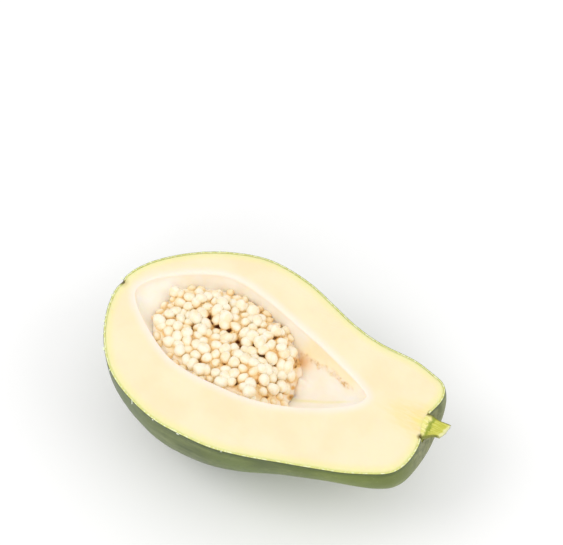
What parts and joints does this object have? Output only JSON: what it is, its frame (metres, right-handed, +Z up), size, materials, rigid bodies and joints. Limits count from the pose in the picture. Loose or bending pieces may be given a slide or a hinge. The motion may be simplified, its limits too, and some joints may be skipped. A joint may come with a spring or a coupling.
{
  "type": "papaya half",
  "caption": "Half of a green papaya, cut lengthwise from blossom scar to stem and lying on its skin, cut face up, with white seeds in the hollow.",
  "frame": {"origin": "middle of the bounding box's floor, on the surface that the half rests on", "axes": "+X along the fruit from the blossom end to the stem, +Y across the cut face to its slimmer side, +Z up out of the cut face"},
  "size_m": [0.2336, 0.142, 0.0716],
  "materials": {
    "skin": "waxy green fruit skin with a soft shine",
    "flesh": "moist cream flesh, yellow-green under the skin",
    "seeds": "pearly cream-white, moist",
    "stem_stub": "cut green stem, yellow-green and fibrous"
  },
  "bodies": {
    "root": {"skin": "skin", "flesh": "flesh", "seeds": "seeds", "stem_stub": "stem_stub"}
  },
  "joints": []
}
